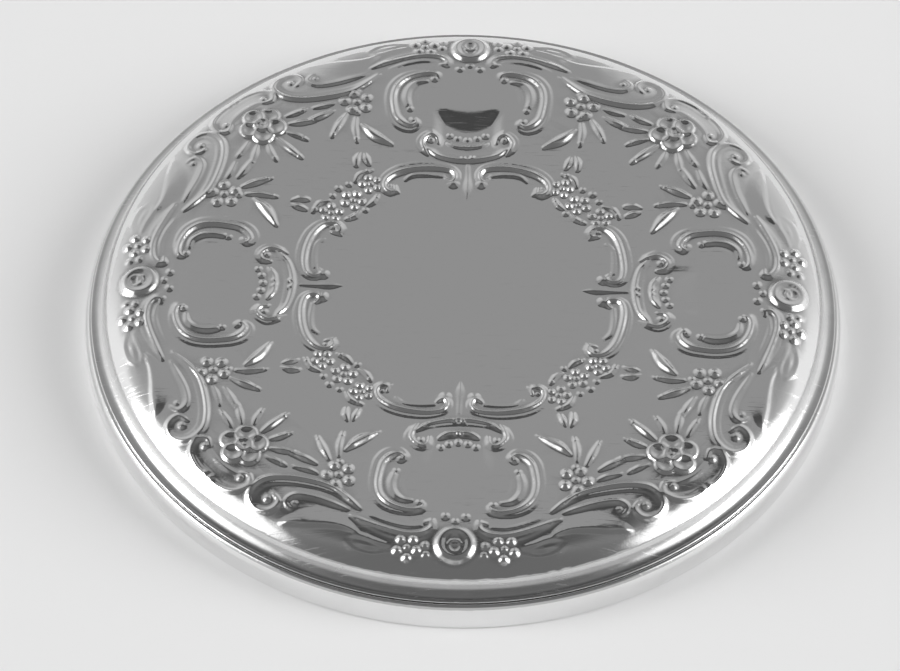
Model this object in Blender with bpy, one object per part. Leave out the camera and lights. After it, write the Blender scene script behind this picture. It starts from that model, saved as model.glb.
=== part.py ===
"""Purse mirror: a die-struck silver back over a bevelled glass, held in a plain silver rim.

The mirror lies with its glass down. The origin is the middle of its footprint, and +Z points up, out
of the embossed back. Lengths are in metres.

The ornament is drawn once, for the eighth of the face between a small field's axis and the diagonal
beside it, and then mirrored and turned to fill the face. Its places are hundredths of the die-sinker's sheet.
"""

import math

import bmesh
import bpy
import numpy as np
from mathutils import Vector
from mathutils.geometry import delaunay_2d_cdt

MM = 0.001

# Rim band
RIM_DIAMETER = 80.0 * MM
RIM_WALL = 0.45 * MM
RIM_LEAN = 0.70 * MM  # how far the burnished top edge leans in from the outside
RIM_LEAN_HEIGHT = 0.80 * MM
LIP_THICKNESS = 0.50 * MM
LIP_REACH = 2.60 * MM  # how far the front lip turns in over the glass, from the outside
LIP_ROUND = 0.18 * MM
SKIRT_GRIP = 0.85 * MM  # how deep the rim grips the skirt of the shell

# Shell
SHELL_WALL = 0.40 * MM
BEAD_WIDTH = 0.20 * MM  # how far the rolled bead stands out from the skirt
BEAD_HEIGHT = 0.24 * MM
BEAD_SHOULDER_SHARE = 0.7  # of its width, how far its upper shoulder stands out
COVE_WIDTH = 1.50 * MM  # the hollow band between the bead and the dome's crease
COVE_RISE = 1.42 * MM
DOME_RISE = 2.00 * MM  # from the crease up to the ring where the ground is highest
DISH_DEPTH = 0.40 * MM  # how far the middle lies under that ring
RELIEF = 0.38 * MM  # height of the boldest scrolls over the ground

# Glass and what is behind it
GLASS_THICKNESS = 1.80 * MM
BEVEL_WIDTH = 6.00 * MM
BEVEL_DEPTH = 0.35 * MM
SILVERING_THICKNESS = 0.08 * MM
PAINT_THICKNESS = 0.12 * MM
CARD_THICKNESS = 0.55 * MM
PACKING_WIDTH = 0.55 * MM

# Clearances
SEAT_GAP = 0.10 * MM  # beside a neighbour
LAYER_GAP = 0.05 * MM  # between pieces that lie on each other

# Facets
SEGMENTS = 64
STROKE_STEP_SHARE = 1.5  # hundredths of the sheet between two points along a scroll
GROUND_STEP_SHARE = 3.6  # the same, between points of the plain ground
LEAST_STEP_SHARE = 0.42  # the same, the nearest that two points may lie
GROUND_RINGS = 11
COVE_RINGS = 4
INNER_RING_SHARES = (0.985, 0.96, 0.92, 0.86, 0.69, 0.55, 0.40)  # of the dome's radius, on its inside

# Radii worked out from the sizes above
RIM_RADIUS = RIM_DIAMETER / 2
RIM_INNER = RIM_RADIUS - RIM_WALL
RIM_MOUTH = RIM_RADIUS - RIM_LEAN
SKIRT_RADIUS = RIM_MOUTH - SEAT_GAP
SKIRT_INNER = SKIRT_RADIUS - SHELL_WALL
DOME_RADIUS = SKIRT_RADIUS - COVE_WIDTH
PACKING_OUTER = RIM_INNER - SEAT_GAP
PACKING_INNER = PACKING_OUTER - PACKING_WIDTH
GLASS_RADIUS = PACKING_INNER - SEAT_GAP
CARD_RADIUS = SKIRT_INNER - SEAT_GAP
LIP_RADIUS = RIM_RADIUS - LIP_REACH

# Heights worked out from the sizes above, from the table up
LIP_COVER_SHARE = (GLASS_RADIUS - LIP_RADIUS) / BEVEL_WIDTH  # of the bevel that the lip covers
GLASS_SEAT = LIP_THICKNESS + LAYER_GAP + BEVEL_DEPTH * LIP_COVER_SHARE
GLASS_FRONT = GLASS_SEAT - BEVEL_DEPTH
GLASS_BACK = GLASS_FRONT + GLASS_THICKNESS
SILVERING_BASE = GLASS_BACK + LAYER_GAP
SILVERING_TOP = SILVERING_BASE + SILVERING_THICKNESS
PAINT_BASE = SILVERING_TOP + LAYER_GAP
PAINT_TOP = PAINT_BASE + PAINT_THICKNESS
CARD_BASE = PAINT_TOP + LAYER_GAP
CARD_TOP = CARD_BASE + CARD_THICKNESS
FILLER_BASE = CARD_TOP + LAYER_GAP
SKIRT_BASE = CARD_BASE
RIM_TOP = SKIRT_BASE + SKIRT_GRIP
BEAD_BASE = RIM_TOP + SEAT_GAP
BEAD_TOP = BEAD_BASE + BEAD_HEIGHT
CREASE_HEIGHT = BEAD_TOP + COVE_RISE

# The dome's outline falls away as 1 - t ** DOME_POWER, where t is the share of the way to its foot
DOME_POWER = 20
DISH_INNER_SHARE = 0.40  # of the dome's radius: inside it the middle is flat
DISH_OUTER_SHARE = 0.69  # and outside it the dish has run out
FACE_EDGE_SHARE = 0.983  # where the embossed face ends and the turned foot of the dome starts

# The die-sinker's sheet. The tables below give places on it in hundredths of its side
DOME_SHEET_SHARE = 0.377
SHEET = DOME_RADIUS / DOME_SHEET_SHARE
HUNDREDTH = SHEET / 100
FACE_REACH_SHARE = FACE_EDGE_SHARE * DOME_RADIUS / HUNDREDTH
RELIEF_REACH_SHARE = 0.985  # of the embossed face, how far out the ornament may run

# Cross-sections of the strokes: where the crest lies, from -1 at the right edge to 1 at the left edge
# as the stroke runs, and how hollow the flanks are, from 1, straight, upwards
SECTION_SHARES = {
    "scroll": (-0.45, 1.6),
    "ridge": (0.0, 1.1),
    "leaf": (0.0, 1.15),
    "blade": (0.62, 1.3),
}
BOLD_WIDTH_SHARE = 0.5  # strokes of less than this half width stand lower

# Strokes beside a small field's axis: section, relief, then rows of across, outwards, half width
AXIS_STROKE_SHARES = (
    # centre scroll, with the line inside it
    ("scroll", 1.0, ((2.3, 15.3, 0.3), (1.75, 14.85, 0.45), (1.1, 15.2, 0.55), (0.95, 16.1, 0.62),
                     (1.5, 16.95, 0.7), (2.6, 17.35, 0.85), (4.0, 17.45, 1.0), (5.8, 17.2, 1.05),
                     (7.5, 16.6, 1.0), (8.7, 15.6, 0.85), (9.15, 14.5, 0.7), (8.9, 13.5, 0.6),
                     (8.1, 13.05, 0.5), (7.4, 13.4, 0.4), (7.5, 14.1, 0.3))),
    ("ridge", 0.5, ((2.5, 15.8, 0.3), (4.2, 15.95, 0.4), (5.8, 15.75, 0.4), (6.6, 15.0, 0.25))),
    # bud in the gap between two centre scrolls
    ("leaf", 0.8, ((0.0, 17.2, 0.3), (0.0, 15.4, 0.4), (0.0, 14.1, 0.58), (0.0, 12.7, 0.12))),
    # crown under the small field
    ("scroll", 0.8, ((0.0, 18.5, 0.95), (1.6, 18.65, 0.85), (3.1, 19.0, 0.65), (4.3, 19.7, 0.3))),
    ("scroll", 0.8, ((0.0, 20.2, 0.75), (1.1, 20.3, 0.65), (1.9, 20.6, 0.35))),
    ("scroll", 0.9, ((2.9, 20.6, 0.35), (3.0, 21.4, 0.5), (3.8, 22.0, 0.65), (4.7, 21.6, 0.75),
                     (5.3, 20.6, 0.75), (5.0, 19.6, 0.6), (4.3, 18.7, 0.2))),
    # big scroll beside the small field, with the two lines inside it
    ("scroll", 1.0, ((3.3, 29.6, 0.3), (3.4, 30.2, 0.45), (4.4, 30.6, 0.6), (5.8, 30.5, 0.8), (7.3, 29.8, 0.95),
                     (8.3, 28.5, 0.98), (8.65, 26.9, 0.98), (8.5, 25.2, 0.98), (8.0, 23.8, 0.92),
                     (7.1, 22.9, 0.8), (6.0, 22.6, 0.6), (5.3, 23.2, 0.45), (5.7, 23.8, 0.3))),
    ("ridge", 0.7, ((4.6, 29.1, 0.3), (5.7, 28.9, 0.5), (6.5, 27.9, 0.6), (6.7, 26.6, 0.65), (6.5, 25.6, 0.5))),
    ("ridge", 0.3, ((5.2, 28.2, 0.2), (5.7, 27.2, 0.3), (5.7, 26.2, 0.25))),
    # outer scroll, its inner line, and the leaves that sweep from it along the rim
    ("scroll", 0.9, ((3.1, 31.7, 0.3), (2.4, 31.6, 0.45), (2.2, 32.5, 0.6), (3.2, 33.4, 0.72), (5.0, 33.6, 0.8),
                     (7.0, 33.1, 0.78), (9.0, 32.2, 0.6), (10.7, 31.2, 0.3))),
    ("ridge", 0.5, ((3.6, 32.2, 0.25), (5.2, 32.3, 0.4), (7.0, 31.8, 0.4), (8.6, 31.0, 0.2))),
    ("ridge", 0.5, ((6.9, 34.4, 0.25), (8.2, 34.0, 0.4), (9.6, 33.4, 0.4), (10.8, 33.3, 0.2))),
    ("ridge", 0.45, ((7.0, 35.2, 0.2), (8.6, 35.4, 0.4), (10.2, 34.9, 0.4), (11.2, 33.9, 0.25))),
    ("leaf", 0.4, ((7.9, 34.7, 0.2), (9.1, 34.4, 0.45), (10.3, 34.0, 0.2))),
    ("blade", 0.9, ((9.9, 33.0, 0.3), (11.4, 31.9, 0.85), (13.4, 31.2, 1.3), (15.4, 31.1, 1.2),
                    (17.0, 31.2, 0.7), (18.0, 31.5, 0.2))),
    # long scroll that ends in a spiral beside the diagonal, and the short one inside it
    ("scroll", 1.0, ((9.9, 30.2, 0.25), (11.4, 28.9, 0.55), (13.3, 27.7, 0.8), (15.6, 27.0, 0.92),
                     (17.9, 26.7, 0.95), (19.8, 27.0, 0.9), (20.9, 28.2, 0.78), (20.5, 29.5, 0.62),
                     (19.2, 30.0, 0.5), (18.3, 29.2, 0.4), (18.8, 28.4, 0.3))),
    ("scroll", 0.7, ((11.2, 30.3, 0.25), (12.9, 29.6, 0.5), (14.8, 28.9, 0.6), (16.5, 28.6, 0.58),
                     (17.4, 29.2, 0.45), (17.0, 29.9, 0.3))),
    # leaves of the spray
    ("leaf", 1.0, ((11.5, 22.5, 0.3), (10.0, 21.1, 0.9), (8.2, 20.0, 0.1))),
    ("leaf", 0.8, ((12.2, 23.4, 0.3), (12.2, 21.9, 0.55), (11.9, 20.2, 0.1))),
    ("leaf", 0.9, ((13.2, 23.9, 0.3), (13.9, 22.4, 0.65), (14.6, 20.8, 0.1))),
    ("leaf", 0.8, ((14.6, 24.4, 0.3), (15.9, 23.6, 0.62), (17.4, 22.9, 0.1))),
    ("leaf", 0.7, ((14.4, 25.7, 0.25), (15.4, 25.2, 0.5), (16.8, 24.8, 0.1))),
    # lone sprig
    ("leaf", 0.8, ((11.0, 19.3, 0.15), (10.8, 18.3, 0.45), (10.4, 17.3, 0.1))),
    ("leaf", 0.8, ((11.5, 19.4, 0.15), (11.8, 18.2, 0.5), (11.8, 16.8, 0.1))),
)

# Round forms beside a small field's axis: section, relief, across, outwards, radius
AXIS_BEAD_SHARES = (
    ("bead", 0.7, 1.5, 14.8, 0.75),
    ("bead", 0.4, 8.2, 14.1, 0.4),
    ("bead", 0.55, 0.0, 21.1, 0.48),
    ("bead", 0.55, 1.0, 21.3, 0.46),
    ("bead", 0.55, 1.85, 21.7, 0.46),
    ("bead", 0.5, 3.9, 20.9, 0.5),
    ("bead", 0.6, 3.8, 29.4, 0.5),
    ("bead", 0.6, 5.9, 23.5, 0.6),
    ("bead", 0.5, 6.3, 25.1, 0.45),
    ("bead", 0.55, 1.1, 31.0, 0.52),
    ("bead", 0.5, 0.0, 31.6, 0.45),
    ("bead", 0.6, 2.5, 31.7, 0.5),
    ("bead", 0.6, 3.0, 35.5, 0.52),
    ("bead", 0.6, 3.1, 34.5, 0.5),
    ("bead", 0.6, 12.2, 27.5, 0.5),
    ("bead", 0.6, 12.1, 24.2, 0.48),
    ("bead", 0.5, 19.4, 28.8, 0.5),
    ("bead", 0.4, 16.7, 29.4, 0.4),
)

# Florets: across, outwards, reach, petals, turn in degrees
AXIS_FLORET_SHARES = (
    (5.1, 34.9, 1.45, 5, 0),
    (10.9, 25.5, 1.4, 5, 20),
    (13.4, 26.0, 1.35, 5, -10),
)
DIAGONAL_FLORET_SHARES = (
    (0.0, 17.1, 1.4, 5, 0),
    (2.7, 17.4, 1.3, 5, 25),
)

# Roses: outwards, reach
AXIS_ROSE_SHARES = (34.3, 2.1)
DIAGONAL_ROSE_SHARES = (31.4, 2.65)

# Strokes beside a diagonal, as above
DIAGONAL_STROKE_SHARES = (
    # scroll that embraces the rose from the rim side, with the line inside it
    ("scroll", 1.0, ((2.5, 34.0, 0.3), (3.3, 33.6, 0.42), (3.9, 34.3, 0.55), (3.3, 35.4, 0.7), (1.8, 36.0, 0.8),
                     (0.0, 36.1, 0.85))),
    ("ridge", 0.5, ((2.4, 34.2, 0.25), (1.2, 34.5, 0.4), (0.0, 34.6, 0.42))),
    # leaves that stand out from the rose
    ("leaf", 0.9, ((0.0, 28.9, 0.3), (0.0, 27.2, 0.62), (0.0, 25.2, 0.1))),
    ("leaf", 0.8, ((1.3, 28.9, 0.25), (1.8, 27.9, 0.52), (2.2, 26.6, 0.1))),
    ("leaf", 0.85, ((2.2, 29.6, 0.25), (3.3, 28.8, 0.58), (4.6, 27.9, 0.1))),
    ("leaf", 0.8, ((2.7, 30.6, 0.25), (3.8, 30.2, 0.5), (5.0, 29.9, 0.1))),
    # leaves of the bunch between two centre scrolls
    ("leaf", 0.8, ((1.9, 18.7, 0.25), (3.0, 19.1, 0.52), (4.3, 18.7, 0.1))),
    ("leaf", 0.8, ((0.5, 15.5, 0.25), (1.4, 15.4, 0.52), (2.4, 15.7, 0.1))),
    ("leaf", 0.8, ((3.5, 16.3, 0.25), (3.9, 15.4, 0.5), (4.3, 14.5, 0.1))),
)

# Round forms beside a diagonal, as above
DIAGONAL_BEAD_SHARES = (
    ("bead", 0.45, 0.0, 19.2, 0.5),
    ("bead", 0.4, 1.2, 18.9, 0.42),
    ("bead", 0.4, 0.0, 15.2, 0.45),
    ("bead", 0.6, 2.8, 34.3, 0.5),
)

# Florets and roses, and the facets of all forms
FLORET_RELIEF_SHARE = 0.62
FLORET_EYE_RELIEF_SHARE = 0.53
FLORET_RING_SHARES = (0.62, 0.37, 0.26)  # of its reach: the petals' circle, a petal's radius, the eye's
ROSE_RELIEF_SHARE = 1.0
ROSE_PETALS = 5
ROSE_HEART_SHARE = 0.2  # of the rose's reach
ROSE_OUTER_SHARES = (0.8, 0.58, 0.45)  # relief, and of the reach the petals' circle and a petal's radius
ROSE_INNER_SHARES = (1.0, 0.27, 0.3)  # the same, for the inner ring
CUP_RIM_SHARE = 0.8  # of a hollow petal's radius
CUP_FLOOR_SHARE = 0.3  # of its rim's height
FOOT_RELIEF_SHARE = 0.35  # feet that lie higher than this on another form carry no facets
GROUND_RELIEF_SHARE = 0.01  # the ground's own points lie only where the ornament is lower than this
BEAD_CORNERS = 5


def smooth_rows(rows, step):
    """Rows spaced about step apart on a smooth curve (Catmull-Rom) through the given rows."""
    rows = np.array(rows)
    ends = np.vstack([2 * rows[0] - rows[1], rows, 2 * rows[-1] - rows[-2]])
    found = [rows[:1]]
    for before, start, end, after in zip(ends, ends[1:], ends[2:], ends[3:]):
        count = max(1, round(float(np.linalg.norm((end - start)[:2])) / step))
        t = (np.arange(count) + 1)[:, None] / count
        square = (2 * before - 5 * start + 4 * end - after) * t**2
        cube = (3 * start - before - 3 * end + after) * t**3
        found.append((2 * start + (end - before) * t + square + cube) / 2)
    return np.vstack(found)


def turned_rows(rows, quarter_turns):
    """The rows with their places turned from the diagonal's frame into the axis frame."""
    angle = -quarter_turns * math.pi / 2
    cosine, sine = math.cos(angle), math.sin(angle)
    across, outward = rows[:, 0], rows[:, 1]
    turned = rows.copy()
    turned[:, 0] = across * cosine - outward * sine
    turned[:, 1] = across * sine + outward * cosine
    return turned


def ring_of_beads(kind, relief, middle, ring_radius, bead_radius, count, first_turn):
    """Beads spaced evenly on a ring about a middle, the first one turned from outwards by first_turn of a
    full turn: kind, relief, across, outwards, radius of each."""
    beads = []
    for number in range(count):
        angle = 2 * math.pi * (number / count + first_turn)
        across = middle[0] + ring_radius * math.sin(angle)
        outward = middle[1] + ring_radius * math.cos(angle)
        beads.append((kind, relief, across, outward, bead_radius))
    return beads


def floret_beads(across, outward, reach, petals, turn_degrees):
    """Round petals about a small eye."""
    ring_radius, petal_radius, eye_radius = (share * reach for share in FLORET_RING_SHARES)
    eye = ("bead", FLORET_EYE_RELIEF_SHARE, across, outward, eye_radius)
    turn = turn_degrees / 360
    return [eye] + ring_of_beads(
        "bead", FLORET_RELIEF_SHARE, (across, outward), ring_radius, petal_radius, petals, turn
    )


def rose_beads(outward, reach):
    """Two rings of hollow petals round a raised heart, the inner ring turned by half a petal."""
    beads = [("bead", ROSE_RELIEF_SHARE, 0, outward, reach * ROSE_HEART_SHARE)]
    half_petal = 1 / (2 * ROSE_PETALS)
    for relief, ring_share, petal_share, turn in (
        (*ROSE_OUTER_SHARES, 0),
        (*ROSE_INNER_SHARES, half_petal),
    ):
        beads += ring_of_beads(
            "cup", relief, (0, outward), reach * ring_share, reach * petal_share, ROSE_PETALS, turn
        )
    return beads


def drawn_forms():
    """Every form of one eighth of the face: (kind, relief, rows of across, outwards, half width)."""
    forms = []
    frames = (
        (0, AXIS_STROKE_SHARES, AXIS_BEAD_SHARES, AXIS_FLORET_SHARES, AXIS_ROSE_SHARES),
        (0.5, DIAGONAL_STROKE_SHARES, DIAGONAL_BEAD_SHARES, DIAGONAL_FLORET_SHARES, DIAGONAL_ROSE_SHARES),
    )
    for quarter_turns, strokes, beads, florets, rose in frames:
        beads = list(beads) + rose_beads(*rose)
        for floret in florets:
            beads += floret_beads(*floret)
        for kind, relief, rows in strokes:
            forms.append((kind, relief, turned_rows(smooth_rows(rows, STROKE_STEP_SHARE), quarter_turns)))
        for kind, relief, across, outward, radius in beads:
            forms.append((kind, relief, turned_rows(np.array([[across, outward, radius]]), quarter_turns)))
    return forms


def stroke_height(kind, rows, places):
    """Height over a stroke, 0 to 1: 1 at the crest, falling over hollow flanks to both edges."""
    crest, hollowness = SECTION_SHARES[kind]
    best = np.zeros(len(places))
    for start, end in zip(rows[:-1], rows[1:]):
        along = end[:2] - start[:2]
        length = math.hypot(*along)
        offset = places - start[:2]
        share = np.clip(offset @ along / length**2, 0, 1)
        width = start[2] + share * (end[2] - start[2])
        away = np.hypot(*(offset - share[:, None] * along).T)
        side = np.sign(along[0] * offset[:, 1] - along[1] * offset[:, 0])
        q = side * away / width
        u = np.where(q > crest, (q - crest) / (1 - crest), (crest - q) / (1 + crest))
        height = (1 - np.clip(u, 0, 1)) ** hollowness * np.minimum(1, width / BOLD_WIDTH_SHARE)
        best = np.maximum(best, height)
    return best


def bead_height(kind, rows, places):
    """Height over a round form, 0 to 1: a parabola of the distance, or for a cup a rim round a hollow."""
    q = np.clip(np.hypot(*(places - rows[0, :2]).T) / rows[0, 2], 0, 1)
    if kind == "cup":
        hollow = CUP_FLOOR_SHARE + (1 - CUP_FLOOR_SHARE) * (q / CUP_RIM_SHARE) ** 2
        return np.where(q < CUP_RIM_SHARE, hollow, 1 - ((q - CUP_RIM_SHARE) / (1 - CUP_RIM_SHARE)) ** 2)
    return 1 - q**2


def relief_at(places, forms):
    """Height of the ornament over the ground, as a share of RELIEF, at places of one eighth of the face.
    Each form also counts with its mirror images over the axis and over the diagonal."""
    height = np.zeros(len(places))
    for kind, relief, rows in forms:
        for copy in (rows, (rows * (-1, 1, 1))[::-1], rows[::-1, (1, 0, 2)]):
            reach = copy[:, 2].max()
            low, high = copy[:, :2].min(0) - reach, copy[:, :2].max(0) + reach
            near = np.flatnonzero(((places > low) & (places < high)).all(1))
            if len(near):
                over = bead_height if len(rows) == 1 else stroke_height
                height[near] = np.maximum(height[near], relief * over(kind, copy, places[near]))
    return height


def crest_and_feet(kind, rows):
    """Lines of places that carry a form's facets: its crest, and its feet. A round form has a point in
    its middle, with a ring about it on its foot, and a cup has a ring on its rim as well."""
    if len(rows) == 1:
        angles = 2 * math.pi * np.arange(BEAD_CORNERS + 1) / BEAD_CORNERS
        ring = rows[0, 2] * np.stack([np.sin(angles), np.cos(angles)], 1)
        middle = rows[:, :2]
        if kind == "cup":
            return [middle, middle + CUP_RIM_SHARE * ring], [middle + ring]
        return [middle], [middle + ring]
    along = np.gradient(rows[:, :2], axis=0)
    along /= np.linalg.norm(along, axis=1, keepdims=True)
    beside = along[:, ::-1] * (-1, 1) * rows[:, 2:]
    crest = SECTION_SHARES[kind][0]
    return [rows[:, :2] + crest * beside], [rows[:, :2] + beside, rows[:, :2] - beside]


def drawn_into_eighth(line):
    """A line's places folded into the drawn eighth, 0 <= across <= outwards, and those that lie almost on
    one of its two mirror lines moved onto that line."""
    line = np.sort(np.abs(line), axis=1)
    near_axis = line[:, 0] < LEAST_STEP_SHARE / 2
    line[near_axis, 0] = 0
    near_diagonal = (line[:, 1] - line[:, 0]) / math.sqrt(2) < LEAST_STEP_SHARE / 2
    line[near_diagonal] = line[near_diagonal].mean(1, keepdims=True)
    return line


def ground_line(ring):
    """Points of the plain ground on one ring, from the axis to the diagonal. The rings lie closer together
    towards the edge, where the dome falls away."""
    radius = FACE_REACH_SHARE * math.sin(math.pi / 2 * ring / (GROUND_RINGS + 1))
    count = max(1, round(math.pi / 4 * radius / GROUND_STEP_SHARE))
    angles = math.pi / 4 * np.arange(count + 1) / count
    return radius * np.stack([np.sin(angles), np.cos(angles)], 1)


def add_point(kept, point, least):
    """Adds a point to the kept ones unless one of them lies nearer than least, and returns the place in the
    list of the one that counts."""
    away = np.hypot(*(np.array(kept) - point).T)
    if away.min() > least:
        kept.append(point)
        return len(kept) - 1
    return int(away.argmin())


def eighth_of_face(forms):
    """Corner points of the drawn eighth, the most important first and none too close, and the links along
    each crest and foot that have to stay edges of facets."""
    crests, feet = [], []
    for kind, _, rows in sorted(forms, key=lambda form: (len(form[2]) == 1, -form[1])):
        crest_lines, foot_lines = crest_and_feet(kind, rows)
        crests += crest_lines
        feet += foot_lines
    kept = [np.zeros(2)]
    links = []
    for lines, most_relief in ((crests, math.inf), (feet, FOOT_RELIEF_SHARE)):
        for line in map(drawn_into_eighth, lines):
            usable = np.hypot(*line.T) < FACE_REACH_SHARE * RELIEF_REACH_SHARE
            usable &= relief_at(line, forms) < most_relief
            found = [None] * len(line)
            for number in np.flatnonzero(usable):
                found[number] = add_point(kept, line[number], LEAST_STEP_SHARE)
            pairs = zip(found, found[1:])
            links += [(start, end) for start, end in pairs if None not in (start, end) and start != end]
    for ring in range(1, GROUND_RINGS + 1):
        line = ground_line(ring)
        for point in line[relief_at(line, forms) < GROUND_RELIEF_SHARE]:
            add_point(kept, point, GROUND_STEP_SHARE / 2)
    return np.array(kept), links


def crease_angle(inset):
    """Angle along the cove's quarter ellipse where the surface that lies inset under it meets the dome."""
    return math.asin(inset / (COVE_RISE + inset))


def cove_place(angle, inset):
    """(radius, height) at an angle along the cove, 0 at the crease and a quarter turn at the bead, or on
    the surface that lies inset under it."""
    radius = SKIRT_RADIUS - (COVE_WIDTH + inset) * math.cos(angle)
    return radius, CREASE_HEIGHT - (COVE_RISE + inset) * math.sin(angle)


def cove_rings(inset):
    """Rings (radius, height) down the cove from the dome's foot to the skirt, or inset under them."""
    start = crease_angle(inset)
    end = math.acos(inset / (COVE_WIDTH + inset))
    return [cove_place(start + (end - start) * ring / COVE_RINGS, inset) for ring in range(COVE_RINGS + 1)]


def dome_height(radius, inset):
    """Height of the shell's surface at a radius, or of the surface that lies inset under it: dished in
    the middle, flat farther out, and falling away ever faster to the crease."""
    foot_radius, foot_height = cove_place(crease_angle(inset), inset)
    share = np.minimum(radius / foot_radius, 1)
    rise = np.clip((share - DISH_INNER_SHARE) / (DISH_OUTER_SHARE - DISH_INNER_SHARE), 0, 1)
    dish = DISH_DEPTH * (1 - rise**2 * (3 - 2 * rise))
    return foot_height + DOME_RISE * (1 - share**DOME_POWER) - dish


def dome_rings(inset):
    """Rings (radius, height) over the dome from just inside its foot towards its middle."""
    foot_radius = cove_place(crease_angle(inset), inset)[0]
    radii = [share * foot_radius for share in INNER_RING_SHARES]
    return [(radius, float(dome_height(radius, inset))) for radius in radii]


def principled(name, colour, roughness, metallic):
    """A plain material for one sub-part."""
    material = bpy.data.materials.new(name)
    material.use_nodes = True
    shader = material.node_tree.nodes["Principled BSDF"]
    shader.inputs["Base Color"].default_value = (*colour, 1)
    shader.inputs["Roughness"].default_value = roughness
    shader.inputs["Metallic"].default_value = metallic
    material.diffuse_color = (*colour, 1)
    return material


def placed(name, mesh, material):
    """Puts a mesh into the scene as the sub-part of that name."""
    part = bpy.data.objects.new(name, mesh)
    mesh.materials.append(material)
    mesh.shade_smooth()
    mesh.set_sharp_from_angle(angle=math.radians(35))
    bpy.context.scene.collection.objects.link(part)
    return part


def turned_piece(name, profile, material, closed):
    """A solid of revolution. The profile runs down its outer side, and a closed one returns to its start."""
    mesh = bpy.data.meshes.new(name)
    count = len(profile)
    edges = [(i, (i + 1) % count) for i in range(count if closed else count - 1)]
    mesh.from_pydata([(radius, 0, height) for radius, height in profile], edges, [])
    part = placed(name, mesh, material)
    screw = part.modifiers.new("turned", "SCREW")
    screw.axis = "Z"
    screw.angle = 2 * math.pi
    screw.steps = SEGMENTS
    screw.render_steps = SEGMENTS
    screw.use_merge_vertices = True
    screw.merge_threshold = LAYER_GAP / 100
    screw.use_smooth_shade = True
    return part


def disc_profile(radius, base, top):
    """Profile of a plain disc, from the middle of its top to the middle of its base."""
    return ((0, top), (radius, top), (radius, base), (0, base))


def build_rim_band():
    """Plain band whose front lip turns in under the glass and whose top edge leans in on the skirt."""
    lean_base = RIM_TOP - RIM_LEAN_HEIGHT
    half_lean = RIM_LEAN / 2
    outside = [
        (RIM_MOUTH, RIM_TOP),
        (RIM_RADIUS - half_lean, RIM_TOP - RIM_LEAN_HEIGHT / 8),
        (RIM_RADIUS - RIM_LEAN / 5, RIM_TOP - RIM_LEAN_HEIGHT / 2),
        (RIM_RADIUS, lean_base),
        (RIM_RADIUS, LIP_ROUND),
        (RIM_RADIUS - LIP_ROUND / 3, LIP_ROUND / 3),
        (RIM_RADIUS - LIP_ROUND, 0),
    ]
    inside = [
        (LIP_RADIUS + LIP_ROUND, 0),
        (LIP_RADIUS, LIP_ROUND),
        (LIP_RADIUS, LIP_THICKNESS),
        (RIM_INNER, LIP_THICKNESS),
        (RIM_INNER, lean_base - RIM_WALL / 2),
        (RIM_MOUTH, RIM_TOP - RIM_WALL),
    ]
    silver = principled("rim silver", (0.86, 0.85, 0.83), 0.18, 1)
    return turned_piece("rim_band", outside + inside, silver, closed=True)


def build_glass():
    """Plate glass, silvered side up, with a wide bevel round its front."""
    profile = (
        (0, GLASS_BACK),
        (GLASS_RADIUS, GLASS_BACK),
        (GLASS_RADIUS, GLASS_SEAT),
        (GLASS_RADIUS - BEVEL_WIDTH, GLASS_FRONT),
        (0, GLASS_FRONT),
    )
    glass = principled("plate glass", (0.80, 0.84, 0.82), 0.02, 0)
    return turned_piece("mirror_glass", profile, glass, closed=False)


def build_silvering():
    """Reflecting layer on the back of the glass."""
    profile = disc_profile(GLASS_RADIUS, SILVERING_BASE, SILVERING_TOP)
    silvering = principled("silvering", (0.93, 0.93, 0.93), 0.02, 1)
    return turned_piece("mirror_silvering", profile, silvering, closed=False)


def build_paint():
    """Protective coat over the silvering."""
    profile = disc_profile(GLASS_RADIUS, PAINT_BASE, PAINT_TOP)
    paint = principled("red lead paint", (0.33, 0.10, 0.07), 0.6, 0)
    return turned_piece("backing_paint", profile, paint, closed=False)


def build_card():
    """Card disc that keeps the filler off the coated glass."""
    profile = disc_profile(CARD_RADIUS, CARD_BASE, CARD_TOP)
    card = principled("grey card", (0.52, 0.47, 0.40), 0.9, 0)
    return turned_piece("packing_card", profile, card, closed=False)


def build_edge_packing():
    """Ring round the edge of the glass. The shell's skirt stands on it."""
    profile = (
        (PACKING_INNER, PAINT_TOP),
        (PACKING_OUTER, PAINT_TOP),
        (PACKING_OUTER, LIP_THICKNESS + LAYER_GAP),
        (PACKING_INNER, LIP_THICKNESS + LAYER_GAP),
    )
    paper = principled("paper strip", (0.62, 0.56, 0.46), 0.9, 0)
    return turned_piece("edge_packing", profile, paper, closed=True)


def build_filler():
    """Domed filler that follows the inside of the shell."""
    inset = SHELL_WALL + SEAT_GAP
    profile = [(0, float(dome_height(0, inset)))]
    profile += dome_rings(inset)[::-1]
    profile += cove_rings(inset)
    profile += [(CARD_RADIUS, FILLER_BASE), (0, FILLER_BASE)]
    filler = principled("filler", (0.42, 0.36, 0.29), 0.85, 0)
    return turned_piece("filler_core", profile, filler, closed=False)


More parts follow.
